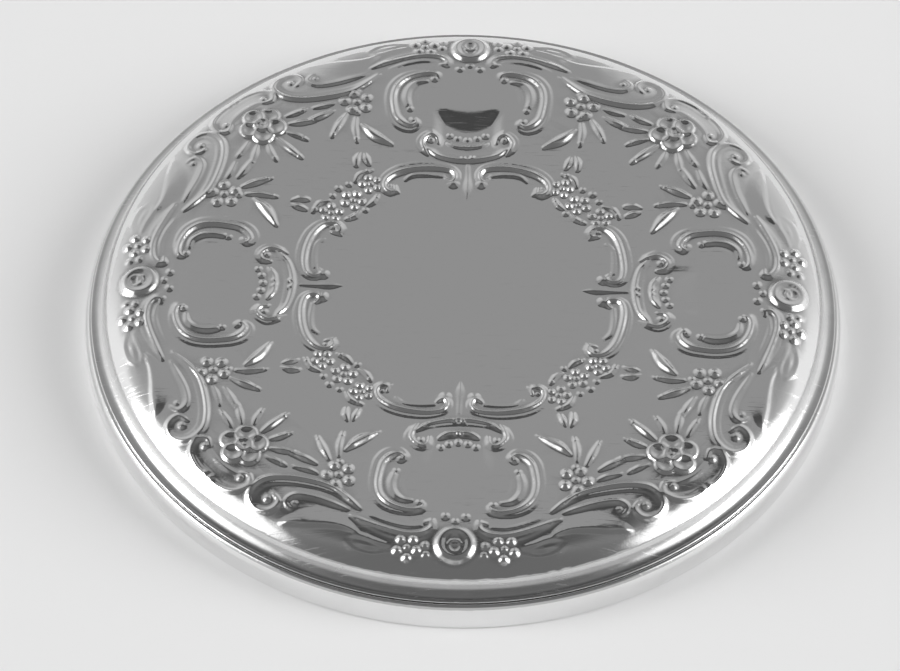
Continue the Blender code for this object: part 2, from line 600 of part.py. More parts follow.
def embossed_face(forms):
    """Mesh of the embossed face alone, and its rim of SEGMENTS corners."""
    eighth, links = eighth_of_face(forms)
    quarter = np.vstack([eighth, eighth[:, ::-1]])
    angles = 2 * math.pi * np.arange(SEGMENTS) / SEGMENTS
    rim = FACE_REACH_SHARE * np.stack([np.cos(angles), np.sin(angles)], 1)
    places = np.vstack([quarter * (x, y) for x in (1, -1) for y in (1, -1)] + [rim])
    copies = range(0, 8 * len(eighth), len(eighth))
    links = [(start + first, end + first) for first in copies for start, end in links]
    merge = LEAST_STEP_SHARE / 100
    found, _, faces, *_ = delaunay_2d_cdt([Vector(place) for place in places], links, [], 0, merge)
    found = np.array([tuple(place) for place in found])
    radius = np.hypot(*found.T)
    relief = relief_at(np.sort(np.abs(found), axis=1), forms) * RELIEF
    relief[radius > FACE_REACH_SHARE * RELIEF_REACH_SHARE] = 0
    height = dome_height(radius * HUNDREDTH, 0) + relief
    mesh = bpy.data.meshes.new("back_shell")
    corners = np.column_stack([found * HUNDREDTH, height])
    mesh.from_pydata(corners.tolist(), [], [tuple(face) for face in faces])
    return mesh


def shell_rings():
    """Rings (radius, height) from the embossed face over the outside, under the skirt and back inside."""
    foot_share = (1 + FACE_EDGE_SHARE) / 2
    outside = [(foot_share * DOME_RADIUS, float(dome_height(foot_share * DOME_RADIUS, 0)))]
    outside += cove_rings(0)
    outside += [
        (SKIRT_RADIUS + BEAD_WIDTH * BEAD_SHOULDER_SHARE, BEAD_TOP - BEAD_HEIGHT / 5),
        (SKIRT_RADIUS + BEAD_WIDTH, BEAD_BASE + BEAD_HEIGHT / 2),
        (SKIRT_RADIUS + BEAD_WIDTH / 2, BEAD_BASE),
        (SKIRT_RADIUS, BEAD_BASE),
        (SKIRT_RADIUS, SKIRT_BASE),
    ]
    inside = [(SKIRT_INNER, SKIRT_BASE)]
    inside += cove_rings(SHELL_WALL)[::-1]
    return outside + inside + dome_rings(SHELL_WALL)


def build_back_shell():
    """Die-struck shell: the embossed face, then its foot, cove, bead and skirt, then the plain inside."""
    mesh = embossed_face(drawn_forms())
    work = bmesh.new()
    work.from_mesh(mesh)
    rim = [edge for edge in work.edges if edge.is_boundary]
    for radius, height in shell_rings():
        grown = bmesh.ops.extrude_edge_only(work, edges=rim)["geom"]
        for vertex in (item for item in grown if isinstance(item, bmesh.types.BMVert)):
            across = math.hypot(vertex.co.x, vertex.co.y)
            vertex.co = (vertex.co.x * radius / across, vertex.co.y * radius / across, height)
        rim = [item for item in grown if isinstance(item, bmesh.types.BMEdge) and item.is_boundary]
    middle = work.verts.new((0, 0, float(dome_height(0, SHELL_WALL))))
    for edge in rim:
        work.faces.new((*edge.verts, middle))
    bmesh.ops.recalc_face_normals(work, faces=work.faces)
    work.to_mesh(mesh)
    work.free()
    return placed("back_shell", mesh, principled("struck silver", (0.88, 0.87, 0.85), 0.15, 1))


def clear_scene():
    """Empties the scene."""
    for item in list(bpy.data.objects):
        bpy.data.objects.remove(item)


def main():
    """Builds every sub-part in its place."""
    clear_scene()
    build_rim_band()
    build_glass()
    build_silvering()
    build_paint()
    build_card()
    build_edge_packing()
    build_filler()
    build_back_shell()


main()
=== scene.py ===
"""Looks of the round silver purse mirror: embossed back, plain rim, bevelled glass underneath.

Everything is in metres in the part's own frame: the mirror lies glass down, +Z points up out of the
embossed back, and the four small plain fields lie along +X, -X, +Y and -Y.
"""

import math

import bpy
import numpy as np
from mathutils import Matrix, Vector


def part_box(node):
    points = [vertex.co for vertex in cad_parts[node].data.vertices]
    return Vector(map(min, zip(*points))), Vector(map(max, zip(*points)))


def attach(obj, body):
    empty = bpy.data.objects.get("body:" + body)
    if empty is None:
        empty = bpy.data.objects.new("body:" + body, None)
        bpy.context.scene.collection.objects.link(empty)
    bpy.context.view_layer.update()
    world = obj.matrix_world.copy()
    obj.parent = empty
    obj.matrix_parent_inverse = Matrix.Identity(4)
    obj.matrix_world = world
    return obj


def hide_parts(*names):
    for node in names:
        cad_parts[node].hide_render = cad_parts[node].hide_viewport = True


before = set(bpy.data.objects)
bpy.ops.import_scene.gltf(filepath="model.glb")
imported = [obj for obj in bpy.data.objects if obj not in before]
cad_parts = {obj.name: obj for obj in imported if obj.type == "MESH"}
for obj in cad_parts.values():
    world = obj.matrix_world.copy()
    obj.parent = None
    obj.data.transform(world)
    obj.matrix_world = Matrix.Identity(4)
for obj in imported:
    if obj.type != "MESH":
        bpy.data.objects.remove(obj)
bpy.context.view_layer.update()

MM = 0.001
ROOT = "root"

# Sizes read from the frame
RIM_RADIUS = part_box("rim_band")[1].x
RIM_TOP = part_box("rim_band")[1].z
SHELL_LOW, SHELL_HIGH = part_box("back_shell")
GLASS_LOW, GLASS_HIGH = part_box("mirror_glass")

# Sizes of the rim and the glass, as in the part
RIM_LEAN = 0.70 * MM
RIM_LEAN_HEIGHT = 0.80 * MM
RIM_WALL = 0.45 * MM
RIM_ROUND = 0.12 * MM  # of the band's corners
RIM_TURNS = 512
LIP_THICKNESS = 0.50 * MM
LIP_REACH = 2.60 * MM
LIP_ROUND = 0.18 * MM
SEAT_GAP = 0.10 * MM
BEVEL_WIDTH = 6.00 * MM
BEVEL_DEPTH = 0.35 * MM
ARRIS = 0.06 * MM  # the rounding of the glass's corners
GLASS_TURNS = 384
GLASS_BACK_RINGS = (0.25, 0.5, 0.75, 0.9)  # shares of the back's radius
GLASS_FRONT_RINGS = (0.9, 0.6, 0.3)  # shares of the flat front's radius
SHORT_SIDE = 0.45  # of a side, which is the most that a rounded corner takes of it

# Sizes of the shell
RELIEF = 0.38 * MM
BEAD_WIDTH = 0.20 * MM
BEAD_HEIGHT = 0.24 * MM
COVE_WIDTH = 1.50 * MM
COVE_RISE = 1.42 * MM
COVE_START = 22  # degrees along the ellipse that the cove is part of
DOME_RISE = 2.0 * MM
DOME_POWER = 20
DISH_DEPTH = 0.40 * MM
DISH_SHARES = (0.40, 0.69)  # of the dome's radius, between which the middle's slight dish runs out
SKIRT_RADIUS = RIM_RADIUS - RIM_LEAN - SEAT_GAP
DOME_RADIUS = SKIRT_RADIUS - COVE_WIDTH
BEAD_BASE = RIM_TOP + SEAT_GAP
CREASE_HEIGHT = BEAD_BASE + BEAD_HEIGHT + COVE_RISE
TOP_CLEARANCE = 0.002 * MM  # under the part's highest point
FACE_EDGE = 0.983 * DOME_RADIUS
RELIEF_EDGE = 0.985 * FACE_EDGE  # from where the relief runs out

# The ornament's tables are in hundredths of the die-sinker's sheet, which are 1 mm for a mirror of 80 mm
HUNDREDTH = DOME_RADIUS / 37.7
ROW_STEP = 0.4  # hundredths between the rows of a smoothed stroke

# Cross-sections of the strokes: where the crest lies, from -1 at the right edge to 1 at the left edge
# as the stroke runs, and how hollow the right and the left flank are, from 1, straight, upwards
SECTIONS = {
    "scroll": (-0.52, 1.05, 1.7),
    "ridge": (0.0, 1.1, 1.1),
    "leaf": (0.0, 1.2, 1.2),
    "blade": (0.62, 1.3, 1.3),
}
BOLD_WIDTH = 0.5  # strokes of less than this half width stand lower
GROOVES = 2  # chased along the wide flank of a scroll
GROOVE_DEPTH = 0.5  # of the scroll's relief
GROOVE_WIDTHS = (0.5, 0.75)  # half widths of a scroll between which its grooves come in
TOP_SHARE = 0.45  # of a bead's radius or a leaf's half width, its rounded top
CUP_RIMS = {"cup": 0.8, "wide cup": 0.68}  # where the rim's crest lies, as a share of the radius
CUP_FLOOR = 0.3  # of the cup's relief
LEAF_SLIMNESS = 0.76  # of the half widths in the tables
BOLD_LEAF = 0.8  # leaves of at least this relief have a raised tip
TIP_BEAD = (0.75, 0.36)  # a leaf tip's share of the leaf's relief, and its radius in hundredths

# Strokes beside a small field's axis: section, relief, then rows of across, outwards, half width
AXIS_STROKES = (
    # centre scroll, with the line inside it
    ("scroll", 1.0, ((2.3, 15.3, 0.3), (1.75, 14.85, 0.45), (1.1, 15.2, 0.55), (0.95, 16.1, 0.62),
                     (1.5, 16.95, 0.7), (2.6, 17.35, 0.85), (4.0, 17.45, 1.0), (5.8, 17.2, 1.05),
                     (7.5, 16.6, 1.0), (8.7, 15.6, 0.85), (9.15, 14.5, 0.7), (8.9, 13.5, 0.6),
                     (8.1, 13.05, 0.5), (7.4, 13.4, 0.4), (7.5, 14.1, 0.3))),
    ("ridge", 0.5, ((2.5, 15.8, 0.3), (4.2, 15.95, 0.4), (5.8, 15.75, 0.4), (6.6, 15.0, 0.25))),
    # bud in the gap between two centre scrolls
    ("ridge", 0.45, ((0.0, 17.2, 0.3), (0.0, 15.4, 0.4), (0.0, 14.1, 0.58), (0.0, 12.7, 0.12))),
    # crown under the small field
    ("scroll", 0.8, ((0.0, 18.5, 0.95), (1.6, 18.65, 0.85), (3.1, 19.0, 0.65), (4.3, 19.7, 0.3))),
    ("scroll", 0.8, ((0.0, 20.2, 0.75), (1.1, 20.3, 0.65), (1.9, 20.6, 0.35))),
    ("scroll", 0.9, ((2.9, 20.6, 0.35), (3.0, 21.4, 0.5), (3.8, 22.0, 0.65), (4.7, 21.6, 0.75),
                     (5.3, 20.6, 0.75), (5.0, 19.6, 0.6), (4.3, 18.7, 0.2))),
    # big scroll beside the small field, with the two lines inside it
    ("scroll", 1.0, ((3.3, 29.6, 0.3), (3.4, 30.2, 0.45), (4.4, 30.6, 0.6), (5.8, 30.5, 0.8), (7.3, 29.8, 0.95),
                     (8.3, 28.5, 0.98), (8.65, 26.9, 0.98), (8.55, 25.2, 1.02), (8.2, 23.7, 1.1),
                     (7.3, 22.6, 1.2), (6.1, 22.3, 0.95), (5.3, 23.1, 0.55), (5.7, 23.8, 0.3))),
    ("ridge", 0.7, ((4.6, 29.1, 0.3), (5.7, 28.9, 0.5), (6.5, 27.9, 0.6), (6.7, 26.6, 0.65), (6.5, 25.6, 0.5))),
    ("ridge", 0.3, ((5.2, 28.2, 0.2), (5.7, 27.2, 0.3), (5.7, 26.2, 0.25))),
    # outer scroll, its inner line, and the leaves that sweep from it along the rim
    ("scroll", 0.9, ((3.1, 31.7, 0.3), (2.4, 31.6, 0.45), (2.2, 32.5, 0.6), (3.2, 33.4, 0.72), (5.0, 33.6, 0.8),
                     (7.0, 33.1, 0.78), (9.0, 32.2, 0.6), (10.7, 31.2, 0.3))),
    ("ridge", 0.5, ((3.6, 32.2, 0.25), (5.2, 32.3, 0.4), (7.0, 31.8, 0.4), (8.6, 31.0, 0.2))),
    ("ridge", 0.5, ((6.9, 34.4, 0.25), (8.2, 34.0, 0.4), (9.6, 33.4, 0.4), (10.8, 33.3, 0.2))),
    ("ridge", 0.45, ((7.0, 35.2, 0.2), (8.6, 35.4, 0.4), (10.2, 34.9, 0.4), (11.2, 33.9, 0.25))),
    ("leaf", 0.4, ((7.9, 34.7, 0.2), (9.1, 34.4, 0.45), (10.3, 34.0, 0.2))),
    ("blade", 0.6, ((9.9, 33.0, 0.3), (11.4, 31.9, 0.85), (13.4, 31.2, 1.3), (15.4, 31.1, 1.2),
                    (17.0, 31.2, 0.7), (18.0, 31.5, 0.2))),
    # long scroll that ends in a spiral beside the diagonal, and the short one inside it
    ("scroll", 1.0, ((9.9, 30.2, 0.25), (11.4, 28.9, 0.55), (13.3, 27.7, 0.8), (15.6, 27.0, 0.92),
                     (17.9, 26.7, 0.95), (19.8, 27.0, 0.9), (20.9, 28.2, 0.78), (20.5, 29.5, 0.62),
                     (19.2, 30.0, 0.5), (18.3, 29.2, 0.4), (18.8, 28.4, 0.3))),
    ("scroll", 0.7, ((11.2, 30.3, 0.25), (12.9, 29.6, 0.5), (14.8, 28.9, 0.6), (16.5, 28.6, 0.58),
                     (17.4, 29.2, 0.45), (17.0, 29.9, 0.3))),
    # leaves of the spray
    ("leaf", 1.0, ((11.5, 22.5, 0.3), (10.0, 21.1, 0.9), (8.2, 20.0, 0.3))),
    ("leaf", 0.8, ((12.2, 23.4, 0.3), (12.2, 21.9, 0.55), (11.9, 20.2, 0.3))),
    ("leaf", 0.9, ((13.2, 23.9, 0.3), (13.9, 22.4, 0.65), (14.6, 20.8, 0.3))),
    ("leaf", 0.8, ((14.6, 24.4, 0.3), (15.9, 23.6, 0.62), (17.4, 22.9, 0.3))),
    ("leaf", 0.7, ((14.4, 25.7, 0.25), (15.4, 25.2, 0.5), (16.8, 24.8, 0.3))),
    # lone sprig
    ("leaf", 0.8, ((11.0, 18.6, 0.2), (10.8, 17.9, 0.6), (10.5, 17.1, 0.4))),
    ("leaf", 0.8, ((11.5, 18.7, 0.2), (11.8, 17.8, 0.65), (11.8, 16.9, 0.4))),
)

# Round forms beside a small field's axis: section, relief, across, outwards, radius
AXIS_BEADS = (
    ("bead", 0.7, 1.5, 14.8, 0.75),
    ("bead", 0.4, 8.2, 14.1, 0.4),
    ("bead", 0.55, 0.0, 21.1, 0.48),
    ("bead", 0.55, 1.0, 21.3, 0.46),
    ("bead", 0.55, 1.85, 21.7, 0.46),
    ("bead", 0.5, 3.9, 20.9, 0.5),
    ("bead", 0.6, 3.8, 29.4, 0.5),
    ("bead", 0.6, 5.9, 23.5, 0.6),
    ("bead", 0.5, 6.3, 25.1, 0.45),
    ("bead", 0.55, 1.1, 31.0, 0.52),
    ("bead", 0.5, 0.0, 31.6, 0.45),
    ("bead", 0.6, 2.5, 31.7, 0.5),
    ("bead", 0.6, 3.0, 35.5, 0.52),
    ("bead", 0.6, 3.1, 34.5, 0.5),
    ("bead", 0.6, 12.2, 27.5, 0.5),
    ("bead", 0.6, 12.1, 24.2, 0.48),
    ("bead", 0.5, 19.4, 28.8, 0.5),
    ("bead", 0.4, 16.7, 29.4, 0.4),
)

# Florets: across, outwards, reach, petals, turn in degrees
AXIS_FLORETS = (
    (5.0, 34.7, 1.75, 5, 0),
    (12.2, 25.8, 2.05, 5, 15),
)
DIAGONAL_FLORETS = (
    (0.0, 17.1, 1.5, 5, 0),
    (2.9, 17.4, 1.4, 5, 25),
)

# Roses: outwards, reach
AXIS_ROSE = (34.3, 2.1)
DIAGONAL_ROSE = (31.4, 2.65)

DIAGONAL_STROKES = (
    # scroll that embraces the rose from the rim side, with the line inside it
    ("scroll", 1.0, ((2.5, 34.0, 0.3), (3.3, 33.6, 0.42), (3.9, 34.3, 0.55), (3.3, 35.4, 0.7), (1.8, 36.0, 0.8),
                     (0.0, 36.1, 0.85))),
    ("ridge", 0.5, ((2.4, 34.2, 0.25), (1.2, 34.5, 0.4), (0.0, 34.6, 0.42))),
    # leaves that stand out from the rose
    ("leaf", 0.9, ((0.0, 28.9, 0.3), (0.0, 27.2, 0.62), (0.0, 25.2, 0.3))),
    ("leaf", 0.8, ((1.3, 28.9, 0.25), (1.8, 27.9, 0.52), (2.2, 26.6, 0.3))),
    ("leaf", 0.85, ((2.2, 29.6, 0.25), (3.3, 28.8, 0.58), (4.6, 27.9, 0.3))),
    ("leaf", 0.8, ((2.7, 30.6, 0.25), (3.8, 30.2, 0.5), (5.0, 29.9, 0.3))),
    # leaves of the bunch between two centre scrolls
    ("leaf", 0.8, ((1.9, 18.7, 0.25), (3.0, 19.1, 0.52), (4.3, 18.7, 0.3))),
    ("leaf", 0.8, ((0.5, 15.5, 0.25), (1.4, 15.4, 0.52), (2.4, 15.7, 0.3))),
    ("leaf", 0.8, ((3.5, 16.3, 0.25), (3.9, 15.4, 0.5), (4.3, 14.5, 0.3))),
)
DIAGONAL_BEADS = (
    ("bead", 0.45, 0.0, 19.2, 0.5),
    ("bead", 0.4, 1.2, 18.9, 0.42),
    ("bead", 0.4, 0.0, 15.2, 0.45),
    ("bead", 0.6, 2.8, 34.3, 0.5),
)
FLORET_RELIEF = 0.72
FLORET_EYE = (0.85, 0.25)  # shares of the relief and of the reach
FLORET_RING, FLORET_PETAL = 0.63, 0.34  # of the reach: the petals' circle, and a petal's radius
FLORET_GROWTH = (0.7, 0.3)  # a petal's share of the relief at no reach, and for each hundredth of it
ROSE_RELIEF = 1.0
ROSE_PETALS = 5
ROSE_HEART = (("cup", 1.0, 0.38), ("bead", 0.9, 0.17))  # form, shares of the relief and of the reach
ROSE_RING, ROSE_PETAL = 0.54, 0.48  # of the reach: the petals' circle, and a petal's radius
ROSE_PETAL_RELIEF = (0.78, 0.14)  # a petal's mean share of the relief, and how far it goes up and down
# Rosebud: form, share of the relief, shift outwards and radius as shares of the reach
BUD_FORMS = (("wide cup", 1.25, 0.0, 1.04), ("cup", 1.1, 0.16, 0.42), ("cup", 0.95, -0.2, 0.36))

# Dips of the ground beside the crowns of the small fields: where the field lies, and the depth
FIELD_DIPS = (((0, 1), 0.37 * MM), ((1, 0), 0.12 * MM), ((0, -1), 0.08 * MM), ((-1, 0), 0.04 * MM))
DIP_FALL = (25.7, 21.7)  # hundredths outwards, between which the ground falls towards the crown
DIP_CURVE, DIP_CURVE_LIMIT = 0.2, 4  # the fall ends farther out by the square of across, up to a limit
DIP_RISE = (19.2, 21.4)  # between which it comes up again under the crown
DIP_SIDES = (4.0, 2.3)  # hundredths across, between which it runs out to both sides

# Unevenness of hand-finished work: how far, over what length
WANDER, WANDER_LENGTH = 0.13, 9 * MM  # of the ornament's places, in hundredths
RELIEF_LEVEL, RELIEF_CHANGE, RELIEF_LENGTH = 0.94, 0.14, 5 * MM  # of its height, as shares
GROUND_CHANGE, GROUND_LENGTH = 0.006, 7 * MM  # of the ground's height, in millimetres
WORKED_CHANGE, WORKED_LENGTH, WORKED_WAVES = 0.004, 1.6 * MM, 24  # round the worked parts

# The fine grid of the shell before its facets are thinned
TURNS = 1440
PLAIN_RADIUS = 12.2 * MM
PLAIN_RINGS = 22
FINE_STEP = 0.115 * MM
DOME_EDGE_RINGS, COVE_RINGS = 8, 18
BEAD_ANGLES = (60, 40, 20, 0, -20, -45, -80)  # of the rings of the rolled bead
FACET_SHARE = 0.27
HOLLOW_DEPTH = 0.12 * MM  # under its surroundings at which a place counts as a full recess, with the full painted shade
COVE_SHADE_AND_DULLNESS = 0.45  # of a full recess: painted shade and dullness on the cove, the bead and the skirt

# The camera, fitted to the photo's ellipses
CAMERA_DISTANCE = 650 * MM
CAMERA_ELEVATION, CAMERA_YAW, CAMERA_ROLL = 49.9, -1.08, -0.36  # degrees
PICTURE_WIDTH = 900
FOCAL_PIXELS = 6111.76
SHIFT_PIXELS = (-12.96, -6.23)
SENSOR_WIDTH = 36.0

TABLE_HALF_SIDE = 4.0

# The studio's lights. A lamp and a glow are on each side: the direction of their middles, for the right side,
# the cosines of the angles from it between which they come in, and their level
LAMP_TOWARD, LAMP_EDGE, LAMP_LEVEL = (0.91, -0.08, 0.407), (0.942, 0.972), 7.3
GLOW_TOWARD, GLOW_EDGE, GLOW_LEVEL = (0.853, -0.15, 0.5), (0.885, 0.94), 1.3
SCREEN_LEVEL = 0.9
FAR_MIDDLE_LEVEL = 0.31
FAR_LEVELS = (0.62, 0.52)  # of the far wall, low down and at 30 degrees
NEAR_LEVELS = (0.5, 0.15)  # of the near wall, at 20 and at 35 degrees
CEILING_LEVELS = (0.055, 0.18)  # far and near
BELOW_LEVEL = 0.8  # under the table's height


def s_curve(value, low, high):
    """0 to 1 as value goes from low to high, as three squares less two cubes of the share gone."""
    share = np.clip((value - low) / (high - low), 0, 1)
    return share**2 * (3 - 2 * share)


def smooth_rows(rows, step):
    """Rows about step apart on a Catmull-Rom curve: a cubic through each pair of rows, whose slope at a
    row is half the way from the row before it to the row after it."""
    rows = np.array(rows, float)
    ends = np.vstack([2 * rows[0] - rows[1], rows, 2 * rows[-1] - rows[-2]])
    found = [rows[:1]]
    for before, start, end, after in zip(ends, ends[1:], ends[2:], ends[3:]):
        count = max(1, round(float(np.linalg.norm((end - start)[:2])) / step))
        t = (np.arange(count) + 1)[:, None] / count
        square = (2 * before - 5 * start + 4 * end - after) * t**2
        cube = (3 * start - before - 3 * end + after) * t**3
        found.append((2 * start + (end - before) * t + square + cube) / 2)
    return np.vstack(found)


def turned(rows, angle):
    """The rows with their places turned by an angle about the middle of the face."""
    cosine, sine = math.cos(angle), math.sin(angle)
    places = rows[:, :2] @ np.array([[cosine, sine], [-sine, cosine]])
    return np.hstack([places, rows[:, 2:]])


def floret_beads(across, outward, reach, petals, turn):
    """Round petals, evenly spaced on a circle about a small eye. The wider the floret, the higher they are."""
    (eye_relief, eye_radius), (least, growth) = FLORET_EYE, FLORET_GROWTH
    beads = [("bead", FLORET_RELIEF * eye_relief, across, outward, reach * eye_radius)]
    for petal in range(petals):
        angle = math.radians(turn) + 2 * math.pi * petal / petals
        place = (across + reach * FLORET_RING * math.sin(angle), outward + reach * FLORET_RING * math.cos(angle))
        beads.append(("bead", FLORET_RELIEF * (least + growth * reach), *place, reach * FLORET_PETAL))
    return beads


def rose_beads(outward, reach):
    """Hollow petals on a circle about the heart, a deeper cup round a bead. Their height goes with the cosine
    of twice their angle, highest along the axis."""
    beads = [(form, ROSE_RELIEF * relief, 0.0, outward, reach * radius) for form, relief, radius in ROSE_HEART]
    mean, change = ROSE_PETAL_RELIEF
    for petal in range(ROSE_PETALS):
        angle = 2 * math.pi * petal / ROSE_PETALS
        place = (reach * ROSE_RING * math.sin(angle), outward + reach * ROSE_RING * math.cos(angle))
        relief = ROSE_RELIEF * (mean + change * math.cos(2 * angle))
        beads.append(("cup", relief, *place, reach * ROSE_PETAL))
    return beads


def bud_beads(outward, reach):
    """A rosebud: a wide ring of petals that leans outwards, and in it two cups that overlap."""
    return [(form, ROSE_RELIEF * relief, 0.0, outward + reach * shift, reach * radius)
            for form, relief, shift, radius in BUD_FORMS]


def drawn_forms():
    """Every form of one eighth of the face: section, relief, rows of across, outwards, half width."""
    forms = []
    for angle, strokes, beads, florets, middle in (
        (0.0, AXIS_STROKES, AXIS_BEADS, AXIS_FLORETS, bud_beads(*AXIS_ROSE)),
        (-math.pi / 4, DIAGONAL_STROKES, DIAGONAL_BEADS, DIAGONAL_FLORETS, rose_beads(*DIAGONAL_ROSE)),
    ):
        beads = [*beads, *middle]
        for floret in florets:
            beads += floret_beads(*floret)
        for section, relief, rows in strokes:
            rows = smooth_rows(rows, ROW_STEP)
            if section == "leaf":
                rows[:, 2] *= LEAF_SLIMNESS
                if relief >= BOLD_LEAF:
                    beads.append(("bead", relief * TIP_BEAD[0], *rows[-2, :2], TIP_BEAD[1]))
            forms.append((section, relief, turned(rows, angle)))
        for section, relief, across, outward, radius in beads:
            forms.append((section, relief, turned(np.array([[across, outward, radius]]), angle)))
    return forms


def round_top(q):
    """Height over a convex form, 0 to 1, at q from 0 in its middle to 1 at its edge: a parabola as far as
    TOP_SHARE, which runs on without a kink into a straight flank."""
    slope = 1 / (1 - TOP_SHARE / 2)
    return np.where(q < TOP_SHARE, 1 - slope * q**2 / (2 * TOP_SHARE), slope * (1 - q))


def stroke_height(section, rows, places):
    """Height over a stroke, 0 to 1. Each place finds its share along every straight piece of the stroke and
    its signed distance aside, q half widths, and keeps the smallest. From 1 at the crest the height falls as
    (1 - u) ** hollowness, where u goes from 0 at the crest to 1 at that side's edge, or on a leaf as a round
    top. The wide flank of a broad scroll has grooves, the square of a sine of u, chased along it."""
    crest, right_hollowness, left_hollowness = SECTIONS[section]
    q, breadth = np.full(len(places), np.inf), np.ones(len(places))
    for start, end in zip(rows[:-1], rows[1:]):
        along = end[:2] - start[:2]
        offset = places - start[:2]
        share = np.clip(offset @ along / np.hypot(*along) ** 2, 0, 1)
        width = start[2] + share * (end[2] - start[2])
        away = np.hypot(*(offset - share[:, None] * along).T)
        aside = np.sign(along[0] * offset[:, 1] - along[1] * offset[:, 0]) * away / width
        closer = np.abs(aside) < np.abs(q)
        q, breadth = np.where(closer, aside, q), np.where(closer, width, breadth)
    u = np.clip(np.where(q > crest, (q - crest) / (1 - crest), (crest - q) / (1 + crest)), 0, 1)
    hollowness = np.where(q > crest, left_hollowness, right_hollowness)
    height = round_top(u) if section == "leaf" else (1 - u) ** hollowness
    height = height * np.minimum(1, breadth / BOLD_WIDTH)
    if section == "scroll":
        low, high = GROOVE_WIDTHS
        groove = np.sin(math.pi * GROOVES * u) ** 2 * np.clip((breadth - low) / (high - low), 0, 1)
        height = np.maximum(height - GROOVE_DEPTH * groove * (q > crest), 0)
    return height


def bead_height(section, rows, places):
    """Height over a round form, 0 to 1, at q from 0 in its middle to 1 at its edge: a round top, or for a cup
    a hollow that rises with the square of q to a rim, beyond which it falls with the square of the rest."""
    q = np.clip(np.hypot(*(places - rows[0, :2]).T) / rows[0, 2], 0, 1)
    if section not in CUP_RIMS:
        return round_top(q)
    rim = CUP_RIMS[section]
    return np.where(q < rim, CUP_FLOOR + (1 - CUP_FLOOR) * (q / rim) ** 2, 1 - ((q - rim) / (1 - rim)) ** 2)


def relief_at(places, forms):
    """Height of the strokes and of the round forms over the ground, as shares of RELIEF. Places of the whole
    face, in hundredths of the sheet, are folded into the drawn eighth, where each form also has its mirror
    images. The highest form at a place counts."""
    folded = np.sort(np.abs(places), axis=1)
    strokes, rounds = np.zeros((2, len(folded)))
    for section, relief, rows in forms:
        heights, height_of = (rounds, bead_height) if len(rows) == 1 else (strokes, stroke_height)
        for copy in (rows, (rows * (-1, 1, 1))[::-1], rows[::-1, (1, 0, 2)]):
            reach = copy[:, 2].max()
            low, high = copy[:, :2].min(0) - reach, copy[:, :2].max(0) + reach
            near = np.flatnonzero(((folded > low) & (folded < high)).all(1))
            if len(near):
                heights[near] = np.maximum(heights[near], relief * height_of(section, copy, folded[near]))
    return strokes, rounds


def dome_height(radius):
    """The shell's height: slightly dished in the middle, with an S-shaped rise to a flat ring, and falling
    away as a high power of the radius to the crease."""
    share = np.minimum(radius / DOME_RADIUS, 1)
    dish = DISH_DEPTH * (1 - s_curve(share, *DISH_SHARES))
    return CREASE_HEIGHT + DOME_RISE * (1 - share**DOME_POWER) - dish


def field_dip(places):
    """How far the ground dips beside the crown of a small field: the depth times an S-shaped fall towards the
    crown, an S-shaped rise under it, and an S-shaped end to both sides."""
    dip = np.zeros(len(places))
    for toward, depth in FIELD_DIPS:
        along = places @ np.array(toward) / HUNDREDTH
        across = np.abs(places @ np.array((toward[1], -toward[0]))) / HUNDREDTH
        foot = DIP_FALL[1] + DIP_CURVE * np.minimum(across, DIP_CURVE_LIMIT) ** 2
        fall = s_curve(along, DIP_FALL[0], foot)
        dip += depth * fall * s_curve(along, *DIP_RISE) * s_curve(across, *DIP_SIDES)
    return dip


def ripple(places, seed, length, count=9):
    """A smooth uneven field of about -1 to 1: twice the mean of sines of random direction, length and phase."""
    random = np.random.default_rng(seed)
    angle = random.uniform(0, 2 * math.pi, count)
    pace = 2 * math.pi / (length * random.uniform(0.7, 1.6, count))
    waves = places @ np.stack([np.cos(angle), np.sin(angle)]) * pace + random.uniform(0, 2 * math.pi, count)
    return np.sin(waves).mean(1) * 2


def softened(field, passes):
    """A field on rings and turns, with each point averaged with its neighbours (1, 2, 1) passes times."""
    for _ in range(passes):
        field = (np.roll(field, 1, 1) + 2 * field + np.roll(field, -1, 1)) / 4
        field[1:-1] = (field[:-2] + 2 * field[1:-1] + field[2:]) / 4
    return field


def blurred(field, passes):
    """A field on rings and turns, with each point averaged with those two steps away (1, 1, 1) passes times."""
    for _ in range(passes):
        field = (np.roll(field, 2, 1) + field + np.roll(field, -2, 1)) / 3
        padded = np.concatenate([field[:1], field[:1], field, field[-1:], field[-1:]])
        field = (padded[:-4] + padded[2:-2] + padded[4:]) / 3
    return field


def turned_grid(outline, turns):
    """An outline of (radius, height) turned once round the axis, as a grid of rings by turns."""
    angle = 2 * math.pi * np.arange(turns) / turns
    radius, height = outline[:, :1], outline[:, 1:]
    return np.stack([radius * np.cos(angle), radius * np.sin(angle), np.repeat(height, turns, 1)], 2)


def shell_outline():
    """Rings (radius, height) from the edge of the face down the outside to the foot of the skirt: the last
    of the dome, the sharp crease, a hollow part of an ellipse that ends level, the rolled bead and the skirt."""
    last_of_dome = np.linspace(FACE_EDGE, DOME_RADIUS, DOME_EDGE_RINGS + 1)[1:]
    rings = [(radius, float(dome_height(radius))) for radius in last_of_dome]
    start = math.radians(COVE_START)
    for angle in np.radians(np.linspace(COVE_START, 90, COVE_RINGS + 1)[1:]):
        outward = 1 - math.cos(angle) / math.cos(start)
        fall = (math.sin(angle) - math.sin(start)) / (1 - math.sin(start))
        rings.append((DOME_RADIUS + COVE_WIDTH * outward, CREASE_HEIGHT - COVE_RISE * fall))
    middle = BEAD_BASE + BEAD_HEIGHT / 2
    for angle in np.radians(BEAD_ANGLES):
        rings.append((SKIRT_RADIUS + BEAD_WIDTH * math.cos(angle), middle + BEAD_HEIGHT / 2 * math.sin(angle)))
    rings.append((SKIRT_RADIUS, BEAD_BASE))
    rings.append((SKIRT_RADIUS, SHELL_LOW.z))
    return np.array(rings)


